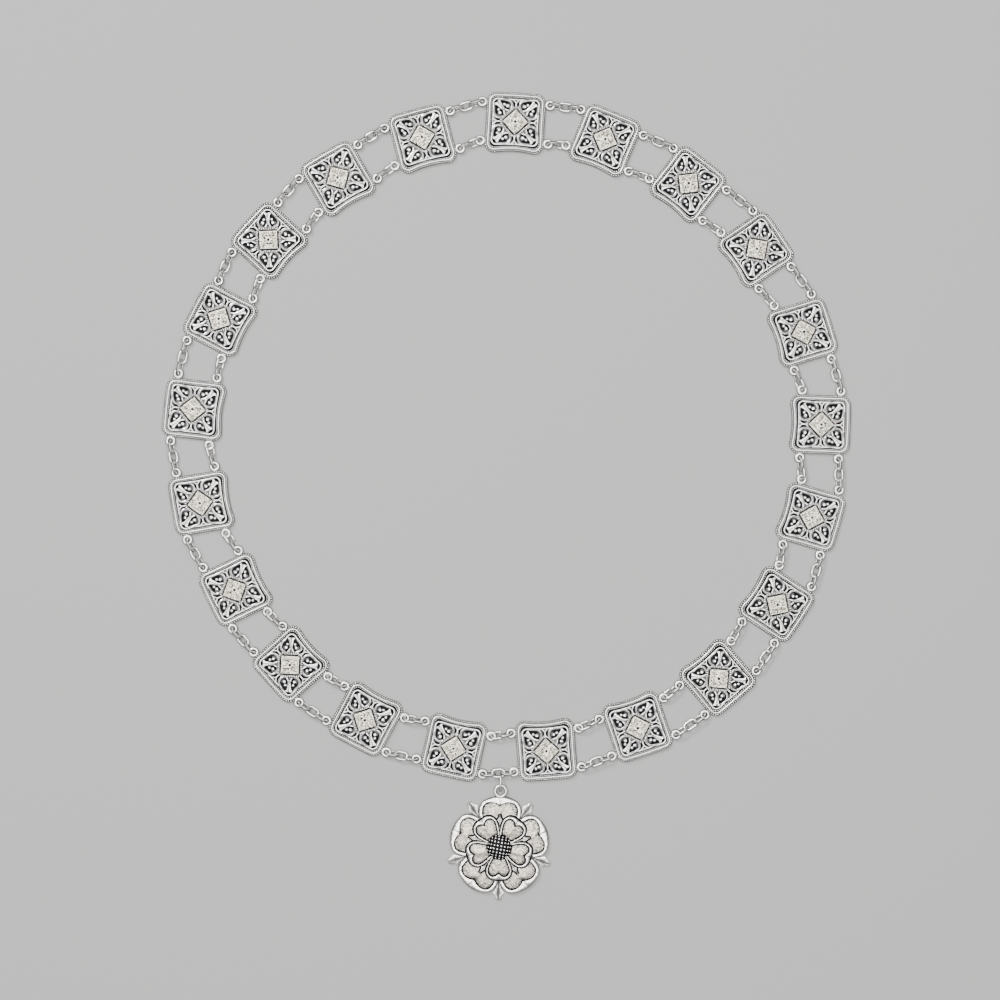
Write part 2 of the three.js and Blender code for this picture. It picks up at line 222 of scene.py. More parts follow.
class Draft:
    """Points in millimetres with their faces, and tarnish and satin values from 0 to 1 for each point; the
    tarnish values hold the oxide in the hollows and also painted shade on wire flanks, petal fields and
    corner fillets.
    """

    def __init__(self):
        self.points = []
        self.faces = []
        self.tarnish = []
        self.satin = []

    def add(self, points, faces, tarnish, satin=0.0):
        first = len(self.points)
        self.points.extend(tuple(point) for point in points)
        self.faces.extend(tuple(first + corner for corner in face) for face in faces)
        self.tarnish.extend(tarnish)
        self.satin.extend(satin if isinstance(satin, list) else [satin] * len(points))

    def join(self, other, matrix=None):
        move = matrix or Matrix.Identity(4)
        points = [move @ Vector(point) for point in other.points]
        self.add(points, other.faces, other.tarnish, list(other.satin))

    def read_mesh(self, mesh):
        """Adds a mesh in metres that carries the attribute of tarnish and painted shade."""
        tarnish = [value.value for value in mesh.attributes["tarnish"].data]
        points = [vertex.co / MM for vertex in mesh.vertices]
        self.add(points, [tuple(face.vertices) for face in mesh.polygons], tarnish)


def mesh_from(draft, name, matrix=None):
    """The draft's mesh in metres, with its faces pointing out."""
    move = Matrix.Scale(MM, 4) @ (matrix or Matrix.Identity(4))
    mesh = bpy.data.meshes.new(name)
    mesh.from_pydata([move @ Vector(point) for point in draft.points], [], draft.faces)
    for label, values in (("tarnish", draft.tarnish), ("satin", draft.satin)):
        layer = mesh.attributes.new(label, "FLOAT", "POINT")
        layer.data.foreach_set("value", values)
    work = bmesh.new()
    work.from_mesh(mesh)
    bmesh.ops.recalc_face_normals(work, faces=work.faces)
    work.to_mesh(mesh)
    work.free()
    return mesh


def finished_piece(name, mesh, material, nodes):
    """An object at the origin that rides on the collar's one body and stands for its CAD nodes."""
    mesh.materials.clear()
    mesh.materials.append(material)
    mesh.shade_smooth()
    mesh.set_sharp_from_angle(angle=SHARP_ANGLE)
    piece = bpy.data.objects.new(name, mesh)
    bpy.context.scene.collection.objects.link(piece)
    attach(piece, "root")
    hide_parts(*nodes)


# Curves and swept metal

# Tarnish along the top of a wire, and how upright its surface stands where the painted shade down its flanks
# begins.
WIRE_TARNISH = 0.04
WIRE_SHADE_FLANK = 0.96


def spline(points, steps, closed=False):
    """Points along a smooth curve through the given ones, with that many steps between each pair."""
    known = [Vector(point).to_2d() for point in points]
    count = len(known)
    spans = count if closed else count - 1
    curve = []
    for span in range(spans):
        corners = [known[(span + shift) % count] if closed else known[min(max(span + shift, 0), count - 1)]
                   for shift in (-1, 0, 1, 2)]
        for step in range(steps):
            share = step / steps
            curve.append(0.5 * (
                2 * corners[1] + (corners[2] - corners[0]) * share
                + (2 * corners[0] - 5 * corners[1] + 4 * corners[2] - corners[3]) * share ** 2
                + (3 * corners[1] - corners[0] - 3 * corners[2] + corners[3]) * share ** 3))
    if not closed:
        curve.append(known[-1])
    return curve


def stretched(values, steps):
    """Values in between the given ones, as many as spline gives points for an open curve."""
    filled = []
    for low, high in zip(values, values[1:]):
        filled.extend(low + (high - low) * step / steps for step in range(steps))
    return filled + [values[-1]]


def side_ways(path, closed):
    """Unit vectors to the right of the path at each of its points."""
    count = len(path)
    ways = []
    for place in range(count):
        before = path[place - 1] if closed or place > 0 else path[place]
        after = path[(place + 1) % count] if closed or place < count - 1 else path[place]
        along = (after - before).normalized()
        ways.append(Vector((along.y, -along.x)))
    return ways


def tube_faces(rings, corners, closed=True):
    """Four-sided faces from each ring of corners to the next, and back to the first where it is closed."""
    faces = []
    for ring in range(rings if closed else rings - 1):
        start = ring * corners
        after = (ring + 1) % rings * corners
        for corner in range(corners):
            following = (corner + 1) % corners
            faces.append((start + corner, start + following, after + following, after + corner))
    return faces


def sweep(draft, path, section, closed, widths=1.0, low=0.0, rise=1.0, satin=0.0):
    """Metal of the given cross section along a flat path, with one half width or one for each point."""
    rings = len(path)
    corners = len(section)
    if isinstance(widths, float):
        widths = [widths] * rings
    points = []
    tarnish = []
    for spot, way, width in zip(path, side_ways(path, closed), widths):
        for offset, height, dark in section:
            place = spot + way * offset * width
            points.append((place.x, place.y, low + height * rise))
            tarnish.append(dark)
    faces = tube_faces(rings, corners, closed)
    if not closed:
        faces.append(tuple(reversed(range(corners))))
        faces.append(tuple(range((rings - 1) * corners, rings * corners)))
    draft.add(points, faces, tarnish, satin)


def dome(draft, x, y, low, high, radius, sides=8, rings=3, stretch=1.0, turn=0.0, satin=0.0, dark=0.8,
         top=0.0, bulge=0.5):
    """A bead on the metal, longer along its own Y by the stretch; dark is its foot's tarnish and top its
    tip's, and a bulge of 1 makes it round."""
    cosine, sine = math.cos(turn), math.sin(turn)
    points = []
    tarnish = []
    for ring in range(rings):
        angle = math.pi / 2 * ring / rings
        for side in range(sides):
            around = TAU * side / sides
            reach = radius * math.cos(angle) ** bulge
            across = reach * math.cos(around)
            along = reach * stretch * math.sin(around)
            points.append((x + across * cosine - along * sine, y + across * sine + along * cosine,
                           low + (high - low) * math.sin(angle)))
            tarnish.append(dark * (1 - ring / rings) ** 3)
    points.append((x, y, high))
    tarnish.append(top)
    faces = [tuple(reversed(range(sides))), *tube_faces(rings, sides, False)]
    tip = rings * sides
    for side in range(sides):
        faces.append((tip - sides + side, tip - sides + (side + 1) % sides, tip))
    draft.add(points, faces, tarnish, satin)


def wire_loop(draft, centre_line, radius, sides=8):
    """A closed ring of round wire along the given points in space, with painted shade darkening it down its
    flanks.
    """
    count = len(centre_line)
    flat = sum(centre_line, Vector()) / count
    axis = (centre_line[0] - flat).cross(centre_line[count // 4] - flat).normalized()
    points = []
    tarnish = []
    for place, spot in enumerate(centre_line):
        along = (centre_line[(place + 1) % count] - centre_line[place - 1]).normalized()
        across = along.cross(axis)
        for side in range(sides):
            angle = TAU * side / sides
            normal = across * math.cos(angle) + axis * math.sin(angle)
            points.append(spot + normal * radius)
            # Painted shade: the more upright the wire's surface, the darker it is painted.
            tarnish.append(WIRE_TARNISH + max(0.0, WIRE_SHADE_FLANK - abs(normal.z)))
    draft.add(points, tube_faces(count, sides), tarnish)


def circle(radius, count):
    return [Vector((radius * math.cos(TAU * step / count), radius * math.sin(TAU * step / count)))
            for step in range(count)]


def oval(centre, reach_x, reach_y, count, axis_turn=None):
    turn = axis_turn or Matrix.Identity(3)
    return [Vector(centre) + turn @ Vector((reach_x * math.cos(TAU * step / count),
                                            reach_y * math.sin(TAU * step / count), 0))
            for step in range(count)]


# The ring's layout, in millimetres about the ring's middle

def ring_radius():
    pitch = (sizes().plaque_width + sizes().plaque_gap) / MM
    return pitch / 2 / math.sin(math.pi / sizes().plaque_count)


def plaque_place(index):
    turn, push, slide = PLAQUE_LIE[index % len(PLAQUE_LIE)]
    angle = TAU * index / sizes().plaque_count
    out = Vector((math.sin(angle), math.cos(angle), 0))
    clockwise = Vector((out.y, -out.x, 0))
    width = sizes().plaque_width / MM
    spot = Matrix.Translation(out * (ring_radius() + push * width) + clockwise * slide * width)
    return spot @ Matrix.Rotation(-angle - math.radians(turn), 4, "Z")


def eye_offset(side, row):
    group = sizes()
    across = side * (group.plaque_width / 2 + group.eye_reach)
    along = group.outer_eye_rise if row == "outer" else -group.inner_eye_drop
    return Vector((across, along, 0)) / MM


def eye_place(index, side, row):
    return plaque_place(index % sizes().plaque_count) @ eye_offset(side, row)


def strand_middle(index):
    return (eye_place(index, 1, "outer") + eye_place(index + 1, -1, "outer")) / 2


def ring_shift():
    """From the ring's own middle to the frame's origin, read from the first outer strand's node."""
    low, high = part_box("outer_strand_01")
    middle = (Vector(low) + Vector(high)) / 2 / MM - strand_middle(0)
    return Matrix.Translation((middle.x, middle.y, 0))


# Plaque

def square_path(line, steps=SIDE_STEPS):
    """A square outline with round corners, whose sides bow inward as the line says."""
    inset, corner, side_flare, top_flare, bottom_flare = line
    half = sizes().plaque_width / MM / 2 - inset
    wide = half + side_flare
    corners = (
        (wide - corner, half + top_flare - corner),
        (-wide + corner, half + top_flare - corner),
        (-wide + corner, -half - bottom_flare + corner),
        (wide - corner, -half - bottom_flare + corner),
    )
    flares = (top_flare, side_flare, bottom_flare, side_flare)
    path = []
    for quarter, (x, y) in enumerate(corners):
        for step in range(CORNER_STEPS + 1):
            angle = math.pi / 2 * (quarter + step / CORNER_STEPS)
            path.append(Vector((x + corner * math.cos(angle), y + corner * math.sin(angle))))
        start = path[-1]
        following = (quarter + 1) % 4
        next_x, next_y = corners[following]
        angle = math.pi / 2 * following
        end = Vector((next_x + corner * math.cos(angle), next_y + corner * math.sin(angle)))
        inward = -Vector((math.cos(angle), math.sin(angle)))
        for step in range(1, steps):
            share = step / steps
            bow = flares[quarter] * (1 - (2 * share - 1) ** 2)
            path.append(start.lerp(end, share) + inward * bow)
    return path


def cut_diamond(reach, cut):
    """A square standing on its corner, with its corners cut straight."""
    corners = ((cut, reach), (-cut, reach), (-reach, cut), (-reach, -cut), (-cut, -reach), (cut, -reach),
               (reach, -cut), (reach, cut))
    return [Vector(corner) for corner in corners]


def plate(draft, outline, holes, low, high, dark=1.0):
    """A flat plate with holes right through it."""
    loops = [outline, *holes]
    flat = [point for loop in loops for point in loop]
    count = len(flat)
    triangles = tessellate_polygon([[Vector((point.x, point.y, 0)) for point in loop] for loop in loops])
    faces = [tuple(triangle) for triangle in triangles]
    faces += [tuple(corner + count for corner in reversed(triangle)) for triangle in triangles]
    first = 0
    for loop in loops:
        for place in range(len(loop)):
            after = first + (place + 1) % len(loop)
            here = first + place
            faces.append((here, after, after + count, here + count))
        first += len(loop)
    points = [(point.x, point.y, low) for point in flat] + [(point.x, point.y, high) for point in flat]
    draft.add(points, faces, [0.5] * count + [dark] * count)


def quarter_turns():
    return [Matrix.Rotation(quarter * math.pi / 2, 4, "Z") for quarter in range(4)]


def eighths():
    """The eight turned and mirrored places of the openwork's pattern, as matrices."""
    for turn in quarter_turns():
        yield turn
        yield turn @ Matrix.Diagonal((-1, 1, 1, 1))


def moved(outline, matrix):
    return [(matrix @ point.to_3d()).to_2d() for point in outline]


def openwork_holes():
    holes = [moved(spline(VOLUTE_HOLE, 3, closed=True), matrix) for matrix in eighths()]
    return holes + [moved(spline(HEART_HOLE, 3, closed=True), turn) for turn in quarter_turns()]


def openwork_eighth():
    """Heart-shaped band, volute, leaf, one arm of the baton and one side of the stem's fork."""
    draft = Draft()
    band = spline(HEART_BAND, BAND_STEPS)
    widths = stretched(HEART_WIDTHS, BAND_STEPS)
    sweep(draft, band, GROOVED_SECTION, False, widths, low=OPENWORK_FOOT, rise=1.45)
    # The volute's ball and the leaf beside it.
    dome(draft, 4.35, 8.0, 1.2, 2.4, 0.84, sides=14, dark=0.5)
    dome(draft, 6.0, 8.8, 1.0, 1.9, 0.66, sides=12, stretch=1.3, turn=math.radians(-20), dark=1)
    sweep(draft, spline(BATON_ARM, 3), ROUND_SECTION, False, 0.34, low=OPENWORK_FOOT, rise=1.3)
    sweep(draft, spline(STEM_ARM, 3), ROUND_SECTION, False, 0.26, low=OPENWORK_FOOT, rise=1.1)
    # The bead at the band's end.
    dome(draft, 8.65, 10.35, 1.8, 2.5, 0.55, sides=10)
    return draft


def openwork_quarter():
    """Stem with its beads on the plaque's axis, and the baton on the diagonal."""
    draft = Draft()
    stem = [Vector(spot) for spot in STEM]
    sweep(draft, stem, ROUND_SECTION, False, STEM_WIDTHS, low=OPENWORK_FOOT, rise=1.2)
    dome(draft, 0, 8.4, 1.5, 2.25, 0.46, sides=10)
    # The bead at the stem's fork, on its black bed.
    dome(draft, 0, 11.45, 0.9, 2.23, 1.02, sides=14, rings=1, dark=1, top=1)
    dome(draft, 0, 11.45, 2.1, 2.75, 0.6, sides=12)
    diagonal = [Vector((share, share)) for share, _ in BATON]
    sweep(draft, diagonal, GROOVED_SECTION, False, [half for _, half in BATON], low=OPENWORK_FOOT, rise=1.75)
    return draft


def lozenge_quarter():
    """The lozenge's relief on one side: an arch round a flower, a leaf on the diagonal and a bead."""
    draft = Draft()
    rosette = Vector((0, 3.55))
    arch = [rosette + Vector((1.55 * math.cos(angle), 1.35 * math.sin(angle)))
            for angle in (math.radians(-50 + 28 * step) for step in range(11))]
    sweep(draft, arch, ROUND_SECTION, False, 0.24, low=3.0, rise=0.85, satin=1.0)
    for step in range(5):
        angle = math.radians(90 + 72 * step)
        dome(draft, rosette.x + 0.62 * math.cos(angle), rosette.y + 0.62 * math.sin(angle), 3.1, 3.85, 0.36,
             sides=6, rings=2, satin=1.0)
    dome(draft, *rosette, 3.1, 4.0, 0.34, sides=6, rings=2, satin=1.0)
    leaf = [Vector((share, share)) for share in (1.0, 1.9, 2.75)]
    sweep(draft, leaf, ROUND_SECTION, False, (0.2, 0.3, 0.14), low=3.1, rise=0.8, satin=1.0)
    dome(draft, 0, 5.35, 3.0, 3.65, 0.3, sides=6, rings=2, satin=1.0)
    return draft


def lozenge_middle():
    """The bed under the lozenge, its raised body and the ring at its top, round a flat black disk of painted
    shade that stands for a hole.
    """
    draft = Draft()
    plate(draft, cut_diamond(8, 1), [], low=0.8, high=2.05, dark=0.85)
    foot, top = LOZENGE_LEVELS[0][1], LOZENGE_LEVELS[-1][1]
    points = [(0, 0, foot)]
    tarnish = [1.0]
    for reach, height, dark in LOZENGE_LEVELS:
        points.extend(((reach, 0, height), (0, reach, height), (-reach, 0, height), (0, -reach, height)))
        tarnish.extend([dark] * 4)
    points.append((0, 0, top))
    tarnish.append(LOZENGE_LEVELS[-1][2])
    faces = []
    for side in range(4):
        after = (side + 1) % 4
        faces.append((0, 1 + after, 1 + side))
        for level in range(len(LOZENGE_LEVELS) - 1):
            low = 1 + level * 4
            faces.append((low + side, low + after, low + 4 + after, low + 4 + side))
        last = 1 + (len(LOZENGE_LEVELS) - 1) * 4
        faces.append((last + side, last + after, len(points) - 1))
    draft.add(points, faces, tarnish, 1.0)
    sweep(draft, circle(1.1, 16), ROUND_SECTION, True, 0.34, low=3.15, rise=0.6, satin=1.0)
    # A flat black disk inside the ring: painted shade in place of the hole.
    dome(draft, 0, 0, 3.31, 3.4, 0.66, sides=12, rings=1, dark=1, top=1)
    return draft


def plaque_template():
    """One whole plaque about its own middle, +Y outward from the ring."""
    draft = Draft()
    sweep(draft, square_path(RIDGE_LINE), BORDER_SECTION, True)
    sweep(draft, square_path(RIM_LINE), RIM_SECTION, True)
    plate(draft, square_path(PLATE_LINE, PLATE_SIDE_STEPS), openwork_holes(), low=0.05, high=1.0)
    # Rows of beads: outline, radius, height of their middles and share of the bead pitch.
    for path, radius, height, pitch in (
        (square_path(OUTER_BEAD_LINE, BEAD_SIDE_STEPS), 0.46, 2.02, 1.35),
        (square_path(INNER_BEAD_LINE, BEAD_SIDE_STEPS), 0.4, 1.92, 1.25),
        (cut_diamond(7.35, 1.1), 0.5, 2.22, 1.25),
        (cut_diamond(6.75, 0.95), 0.24, 2.2, 0.85),
    ):
        draft.read_mesh(bead_row(path, radius, height, pitch))
    eighth = openwork_eighth()
    for matrix in eighths():
        draft.join(eighth, matrix)
    quarter = openwork_quarter()
    lozenge = lozenge_quarter()
    for turn in quarter_turns():
        draft.join(quarter, turn)
        draft.join(lozenge, turn)
    draft.join(lozenge_middle())
    wire = sizes().eye_wire / MM / 2
    reach = sizes().eye_width / MM / 2 - wire
    for side in (-1, 1):
        for row in ("outer", "inner"):
            spot = eye_offset(side, row) + Vector((0, 0, EYE_LIFT))
            wire_loop(draft, oval(spot, reach, reach, 20), wire)
            root = spot - Vector((side * (reach + 0.2), 0, 0))
            dome(draft, root.x, root.y, 0.9, 2.5, 0.75, dark=0.4)
    return draft


# Node trees

def fill_inputs(tree, node, inputs):
    """Gives each input its value, or wires it where the value is a node and the name of its output."""
    for entry, value in inputs.items():
        if isinstance(value, tuple) and isinstance(value[0], bpy.types.Node):
            source, output = value
            tree.links.new(source.outputs[output], node.inputs[entry])
        else:
            node.inputs[entry].default_value = value


def add_node(tree, kind, inputs, **settings):
    node = tree.nodes.new(kind)
    for label, value in settings.items():
        setattr(node, label, value)
    fill_inputs(tree, node, inputs)
    return node


def node_tree(name, inputs):
    """A modifier's tree with a geometry input and output and the given named inputs."""
    tree = bpy.data.node_groups.new(name, "GeometryNodeTree")
    tree.interface.new_socket("Geometry", in_out="INPUT", socket_type="NodeSocketGeometry")
    tree.interface.new_socket("Geometry", in_out="OUTPUT", socket_type="NodeSocketGeometry")
    for label, kind in inputs:
        tree.interface.new_socket(label, in_out="INPUT", socket_type=kind)
    return tree, tree.nodes.new("NodeGroupInput"), tree.nodes.new("NodeGroupOutput")


def math_node(tree, operation, first, second):
    return add_node(tree, "ShaderNodeMath", {0: first, 1: second}, operation=operation)


def realized(tree, given, copies, made):
    """Ends a tree: its copies become real geometry of the given material."""
    real = add_node(tree, "GeometryNodeRealizeInstances", {"Geometry": (copies, "Instances")})
    painted = add_node(tree, "GeometryNodeSetMaterial", {
        "Geometry": (real, "Geometry"), "Material": (given, "Material")})
    fill_inputs(tree, made, {"Geometry": (painted, "Geometry")})


def applied_tree(source, tree, values, name):
    """The plain mesh that the tree makes from the source object, which is then removed."""
    modifier = source.modifiers.new(tree.name, "NODES")
    modifier.node_group = tree
    for item in tree.interface.items_tree:
        if item.item_type == "SOCKET" and item.in_out == "INPUT" and item.name in values:
            modifier[item.identifier] = values[item.name]
    evaluated = source.evaluated_get(bpy.context.evaluated_depsgraph_get())
    mesh = bpy.data.meshes.new_from_object(evaluated)
    mesh.name = name
    source.modifiers.remove(modifier)
    bpy.data.objects.remove(source)
    return mesh


def scratch_object(name, mesh):
    source = bpy.data.objects.new(name, mesh)
    bpy.context.scene.collection.objects.link(source)
    return source


BEAD_SEGMENTS = 7
BEAD_RINGS = 4
BEAD_SQUASH = 0.45
# The share of a bead's radius above which it is bright.
BEAD_BRIGHT_SHARE = 0.65


def bead_tree():
    """Round beads along a closed loop of edges, a whole number of them near the given pitch."""
    tree, given, made = node_tree("Bead Row", (
        ("Radius", "NodeSocketFloat"), ("Pitch", "NodeSocketFloat"), ("Material", "NodeSocketMaterial")))
    curve = add_node(tree, "GeometryNodeMeshToCurve", {"Mesh": (given, "Geometry")})
    length = add_node(tree, "GeometryNodeCurveLength", {"Curve": (curve, "Curve")})
    count = math_node(tree, "DIVIDE", (length, "Length"), (given, "Pitch"))
    spread = add_node(tree, "GeometryNodeResampleCurve", {"Curve": (curve, "Curve"), "Count": (count, 0)})
    bead = add_node(tree, "GeometryNodeMeshUVSphere", {
        "Segments": BEAD_SEGMENTS, "Rings": BEAD_RINGS, "Radius": (given, "Radius")})
    place = add_node(tree, "GeometryNodeInputPosition", {})
    split = add_node(tree, "ShaderNodeSeparateXYZ", {0: (place, "Position")})
    bright = math_node(tree, "MULTIPLY", (given, "Radius"), BEAD_BRIGHT_SHARE)
    darkness = add_node(tree, "ShaderNodeMapRange", {
        "Value": (split, "Z"), "From Min": (bright, 0), "From Max": 0.0})
    shaded = add_node(tree, "GeometryNodeStoreNamedAttribute", {
        "Geometry": (bead, "Mesh"), "Name": "tarnish", "Value": (darkness, "Result")})
    copies = add_node(tree, "GeometryNodeInstanceOnPoints", {
        "Points": (spread, "Curve"), "Instance": (shaded, "Geometry"), "Scale": (1, 1, BEAD_SQUASH)})
    realized(tree, given, copies, made)
    return tree


def bead_row(path, radius, height, pitch):
    """Beads along a closed outline, with their pitch as a share of the collar's bead pitch."""
    tree = bpy.data.node_groups.get("Bead Row") or bead_tree()
    mesh = bpy.data.meshes.new("bead_path")
    count = len(path)
    mesh.from_pydata([(spot.x * MM, spot.y * MM, height * MM) for spot in path],
                     [(place, (place + 1) % count) for place in range(count)], [])
    values = {"Radius": radius * MM, "Pitch": pitch * sizes().bead_pitch, "Material": antique_silver()}
    return applied_tree(scratch_object("bead_path", mesh), tree, values, "bead_row")


def copy_tree():
    """One shape on each point, turned and stretched by the point's own attributes."""
    tree, given, made = node_tree("Placed Copies", (
        ("Shape", "NodeSocketObject"), ("Material", "NodeSocketMaterial")))
    source = add_node(tree, "GeometryNodeObjectInfo", {"Object": (given, "Shape")})
    points = add_node(tree, "GeometryNodeMeshToPoints", {"Mesh": (given, "Geometry")})
    copies = add_node(tree, "GeometryNodeInstanceOnPoints", {
        "Points": (points, "Points"), "Instance": (source, "Geometry")})
    for label, entry in (("turn", "Rotation"), ("stretch", "Scale")):
        column = add_node(tree, "GeometryNodeInputNamedAttribute", {"Name": label}, data_type="FLOAT_VECTOR")
        fill_inputs(tree, copies, {entry: (column, "Attribute")})
    realized(tree, given, copies, made)
    return tree


def copies_mesh(name, shape, places):
    """A copy of the shape at each place, which is a middle in millimetres, a turn and a stretch."""
    mesh = bpy.data.meshes.new(name)
    mesh.from_pydata([middle * MM for middle, _, _ in places], [], [])
    for label, column in (("turn", 1), ("stretch", 2)):
        layer = mesh.attributes.new(label, "FLOAT_VECTOR", "POINT")
        layer.data.foreach_set("vector", [value for place in places for value in place[column]])
    template = scratch_object("copied_shape", shape)
    tree = bpy.data.node_groups.get("Placed Copies") or copy_tree()
    values = {"Shape": template, "Material": antique_silver()}
    made = applied_tree(scratch_object(name, mesh), tree, values, name)
    bpy.data.objects.remove(template)
    return made


# Chains

LINK_LENGTH = 7.15
LINK_LIFT = 2.45
LINK_STEPS = 20
LINK_BITE = 0.12
TIP_CREEP = 0.15
JUMP_WIRE = 1.0
# How far each link of a strand leans over, in degrees.
OUTER_LEANS = (64, 22, 64)
INNER_LEANS = (64, 40)
PENDANT_LEANS = (64, 0, 64)


def link_mesh():
    """A long link lying flat along X about its middle."""
    draft = Draft()
    wire = sizes().link_wire / MM / 2
    half_width = sizes().link_width / MM / 2 - wire
    straight = LINK_LENGTH / 2 - wire - half_width
    line = []
    for step in range(LINK_STEPS):
        angle = TAU * (step + 0.5) / LINK_STEPS
        line.append(Vector((math.copysign(straight, math.cos(angle)) + half_width * math.cos(angle),
                            half_width * math.sin(angle), 0)))
    wire_loop(draft, line, wire)
    return mesh_from(draft, "link")


def strand_links(index, row, leans):
    """Middle, turn and stretch of each link between two plaques, from the first one's eye on."""
    count = len(leans)
    start = eye_place(index, 1, row)
    end = eye_place(index + 1, -1, row)
    along = (end - start).normalized()
    wire = sizes().link_wire / MM
    span = (end - start).length + 2 * TIP_CREEP
    bite = wire + LINK_BITE
    line_length = (span + (count - 1) * bite) / count
    heading = math.atan2(along.y, along.x)
    stretch = (line_length + wire) / LINK_LENGTH
    places = []
    for link, lean in enumerate(leans):
        middle = start + along * (line_length / 2 + link * (line_length - bite) - TIP_CREEP)
        middle.z = LINK_LIFT
        places.append((middle, (math.radians(lean), 0, heading), (stretch, 1, 1)))
    return places


def links_piece(name, places, nodes):
    shift = ring_shift()
    placed = [(shift @ middle, turn, stretch) for middle, turn, stretch in places]
    made = copies_mesh(name, link_mesh(), placed)
    finished_piece(name, made, antique_silver(), nodes)


# Rose pendant

def mirrored(half_outline):
    """A closed outline from its half on the right, root first."""
    return [*half_outline, *((-x, y) for x, y in half_outline[-2:0:-1])]


def petal(shape, steps=7):
    """A petal with a thick rolled rim round a sunk, two-lobed field with a fold down its middle."""
    edge = spline(mirrored(shape["edge"]), steps, closed=True)
    field = spline(mirrored(shape["field"]), steps, closed=True)
    count = len(edge)
    middle = Vector((0, sum(point.y for point in field) / count))
    height = shape["rim"] - shape["floor"]
    rings = []
    line = shape["line"]
    # The sunk field darkens towards its edge: painted shade of the hollow, ending in oxide along the dark
    # line at the rim's foot.
    for share, dark in ((0.15, 0.34), (0.3, 0.34), (0.45, 0.35), (0.58, 0.4), (1 - 4 * line, 0.52),
                        (1 - 2.25 * line, 0.7), (1 - line, 1), (1, 1)):
        ring = []
        for point in field:
            spot = middle.lerp(point, share)
            fold = math.exp(-(spot.x / 1.1) ** 2) * 0.35 * (1 - share ** 6)
            swell = (shape["crown"] - shape["floor"]) * (1 - share ** 2.5)
            ring.append((spot.x, spot.y, shape["floor"] + swell + fold, dark, 1 - dark))
        rings.append(ring)
    for share, lift, dark in ((line / 2, 0.3, 1), (2 * line, 0.7, 0.85), (4.5 * line, 0.94, 0.05),
                              (0.42, 1.0, 0), (0.6, 0.97, 0.12), (0.82, 0.85, 0.3), (0.94, 0.6, 0.5),
                              (1.0, 0.2, 0.9)):
        ring = []
        for inner, outer in zip(field, edge):
            spot = inner.lerp(outer, share)
            notch = math.exp(-(spot.x / 0.5) ** 2) * 0.3 * math.sin(math.pi * share) * (spot.y > middle.y)
            ring.append((spot.x, spot.y, shape["floor"] + (height - notch) * lift, dark, 0.15))
        rings.append(ring)
    rings.append([(point.x, point.y, shape["base"] + 0.15, 0.9, 0) for point in edge])
    rings.append([(point.x * 0.97, point.y * 0.99, shape["base"], 0.9, 0) for point in edge])
    top = shape["crown"] + 0.35
    points = [(middle.x, middle.y, top)] + [spot[:3] for ring in rings for spot in ring]
    tarnish = [0.34] + [spot[3] for ring in rings for spot in ring]
    satin = [1.0] + [spot[4] for ring in rings for spot in ring]
    faces = [(0, 1 + place, 1 + (place + 1) % count) for place in range(count)]
    for level in range(len(rings) - 1):
        first = 1 + level * count
        for place in range(count):
            after = (place + 1) % count
            faces.append((first + place, first + count + place, first + count + after, first + after))
    last = 1 + (len(rings) - 1) * count
    faces.append(tuple(range(last, last + count)))
    draft = Draft()
    draft.add(points, faces, tarnish, satin)
    return draft


# Offset outward, height over the metal below and darkness of the fillet of painted shade.
SHADE_SECTION = (
    (-0.15, -0.3, 1), (-0.15, 0.6, 1), (0.15, 0.32, 1), (0.42, 0.12, 1), (0.85, 0.03, 0.3), (0.85, -0.3, 1),
)


def corner_shade(draft, outline, ground):
    """A dark fillet of painted shade where a raised outline meets the metal below it."""
    points = []
    tarnish = []
    for spot, way in zip(outline, side_ways(outline, True)):
        for offset, height, dark in SHADE_SECTION:
            place = spot + way * offset
            hit = ground.ray_cast(Vector((place.x, place.y, 20)), Vector((0, 0, -1)))[0]
            points.append((place.x, place.y, max((hit.z if hit else 0) + height, 0.05)))
            tarnish.append(dark)
    draft.add(points, tube_faces(len(outline), len(SHADE_SECTION)), tarnish)


def barb_outline(stations):
    right = [Vector((half, reach)) for reach, half in stations]
    left = [Vector((-half, reach)) for reach, half in reversed(stations)]
    return right + left


def barb(stations, low, rise, dark=0.0):
    """A ribbed leaf tip along +Y, from its half widths at each distance."""
    draft = Draft()
    path = [Vector((0, reach)) for reach, _ in stations]
    section = [(offset, height, min(tarnish + dark, 1)) for offset, height, tarnish in RIBBED_SECTION]
    sweep(draft, path, section, False, [half for _, half in stations], low=low, rise=rise)
    return draft


def boss_dome(low, high, radius):
    """The black ground under the seeds."""
    draft = Draft()
    dome(draft, 0, 0, low, high, radius, sides=48, rings=12, bulge=1)
    draft.tarnish = [1.0] * len(draft.tarnish)
    return draft


SEED_STEP = math.radians(15.6)
SEED_TURN = math.radians(-9)
SEED_LIMIT = 0.94
SEED_TAPER = 0.3
SEED_ROWS = range(-5, 5)


def boss_seeds(low, high, radius):
    """Square rows of seeds, evenly spaced over the dome's curve, as a mesh in metres."""
    seed = Draft()
    dome(seed, 0, 0, -0.05, 0.34, 0.65, sides=10, dark=0.85)
    places = []
    for row in SEED_ROWS:
        for column in SEED_ROWS:
            across = math.sin((column + 0.5) * SEED_STEP)
            along = math.sin((row + 0.5) * SEED_STEP)
            reach = math.hypot(across, along)
            if reach > SEED_LIMIT:
                continue
            x = radius * (across * math.cos(SEED_TURN) - along * math.sin(SEED_TURN))
            y = radius * (across * math.sin(SEED_TURN) + along * math.cos(SEED_TURN))
            surface = low + (high - low) * math.sqrt(1 - reach ** 2)
            size = 1 - SEED_TAPER * reach
            lean = Vector((x / radius ** 2, y / radius ** 2, (surface - low) / (high - low) ** 2))
            places.append((Vector((x, y, surface)), lean.to_track_quat("Z", "Y").to_euler(), (size, size, 1)))
    return copies_mesh("boss_seeds", mesh_from(seed, "seed"), places)


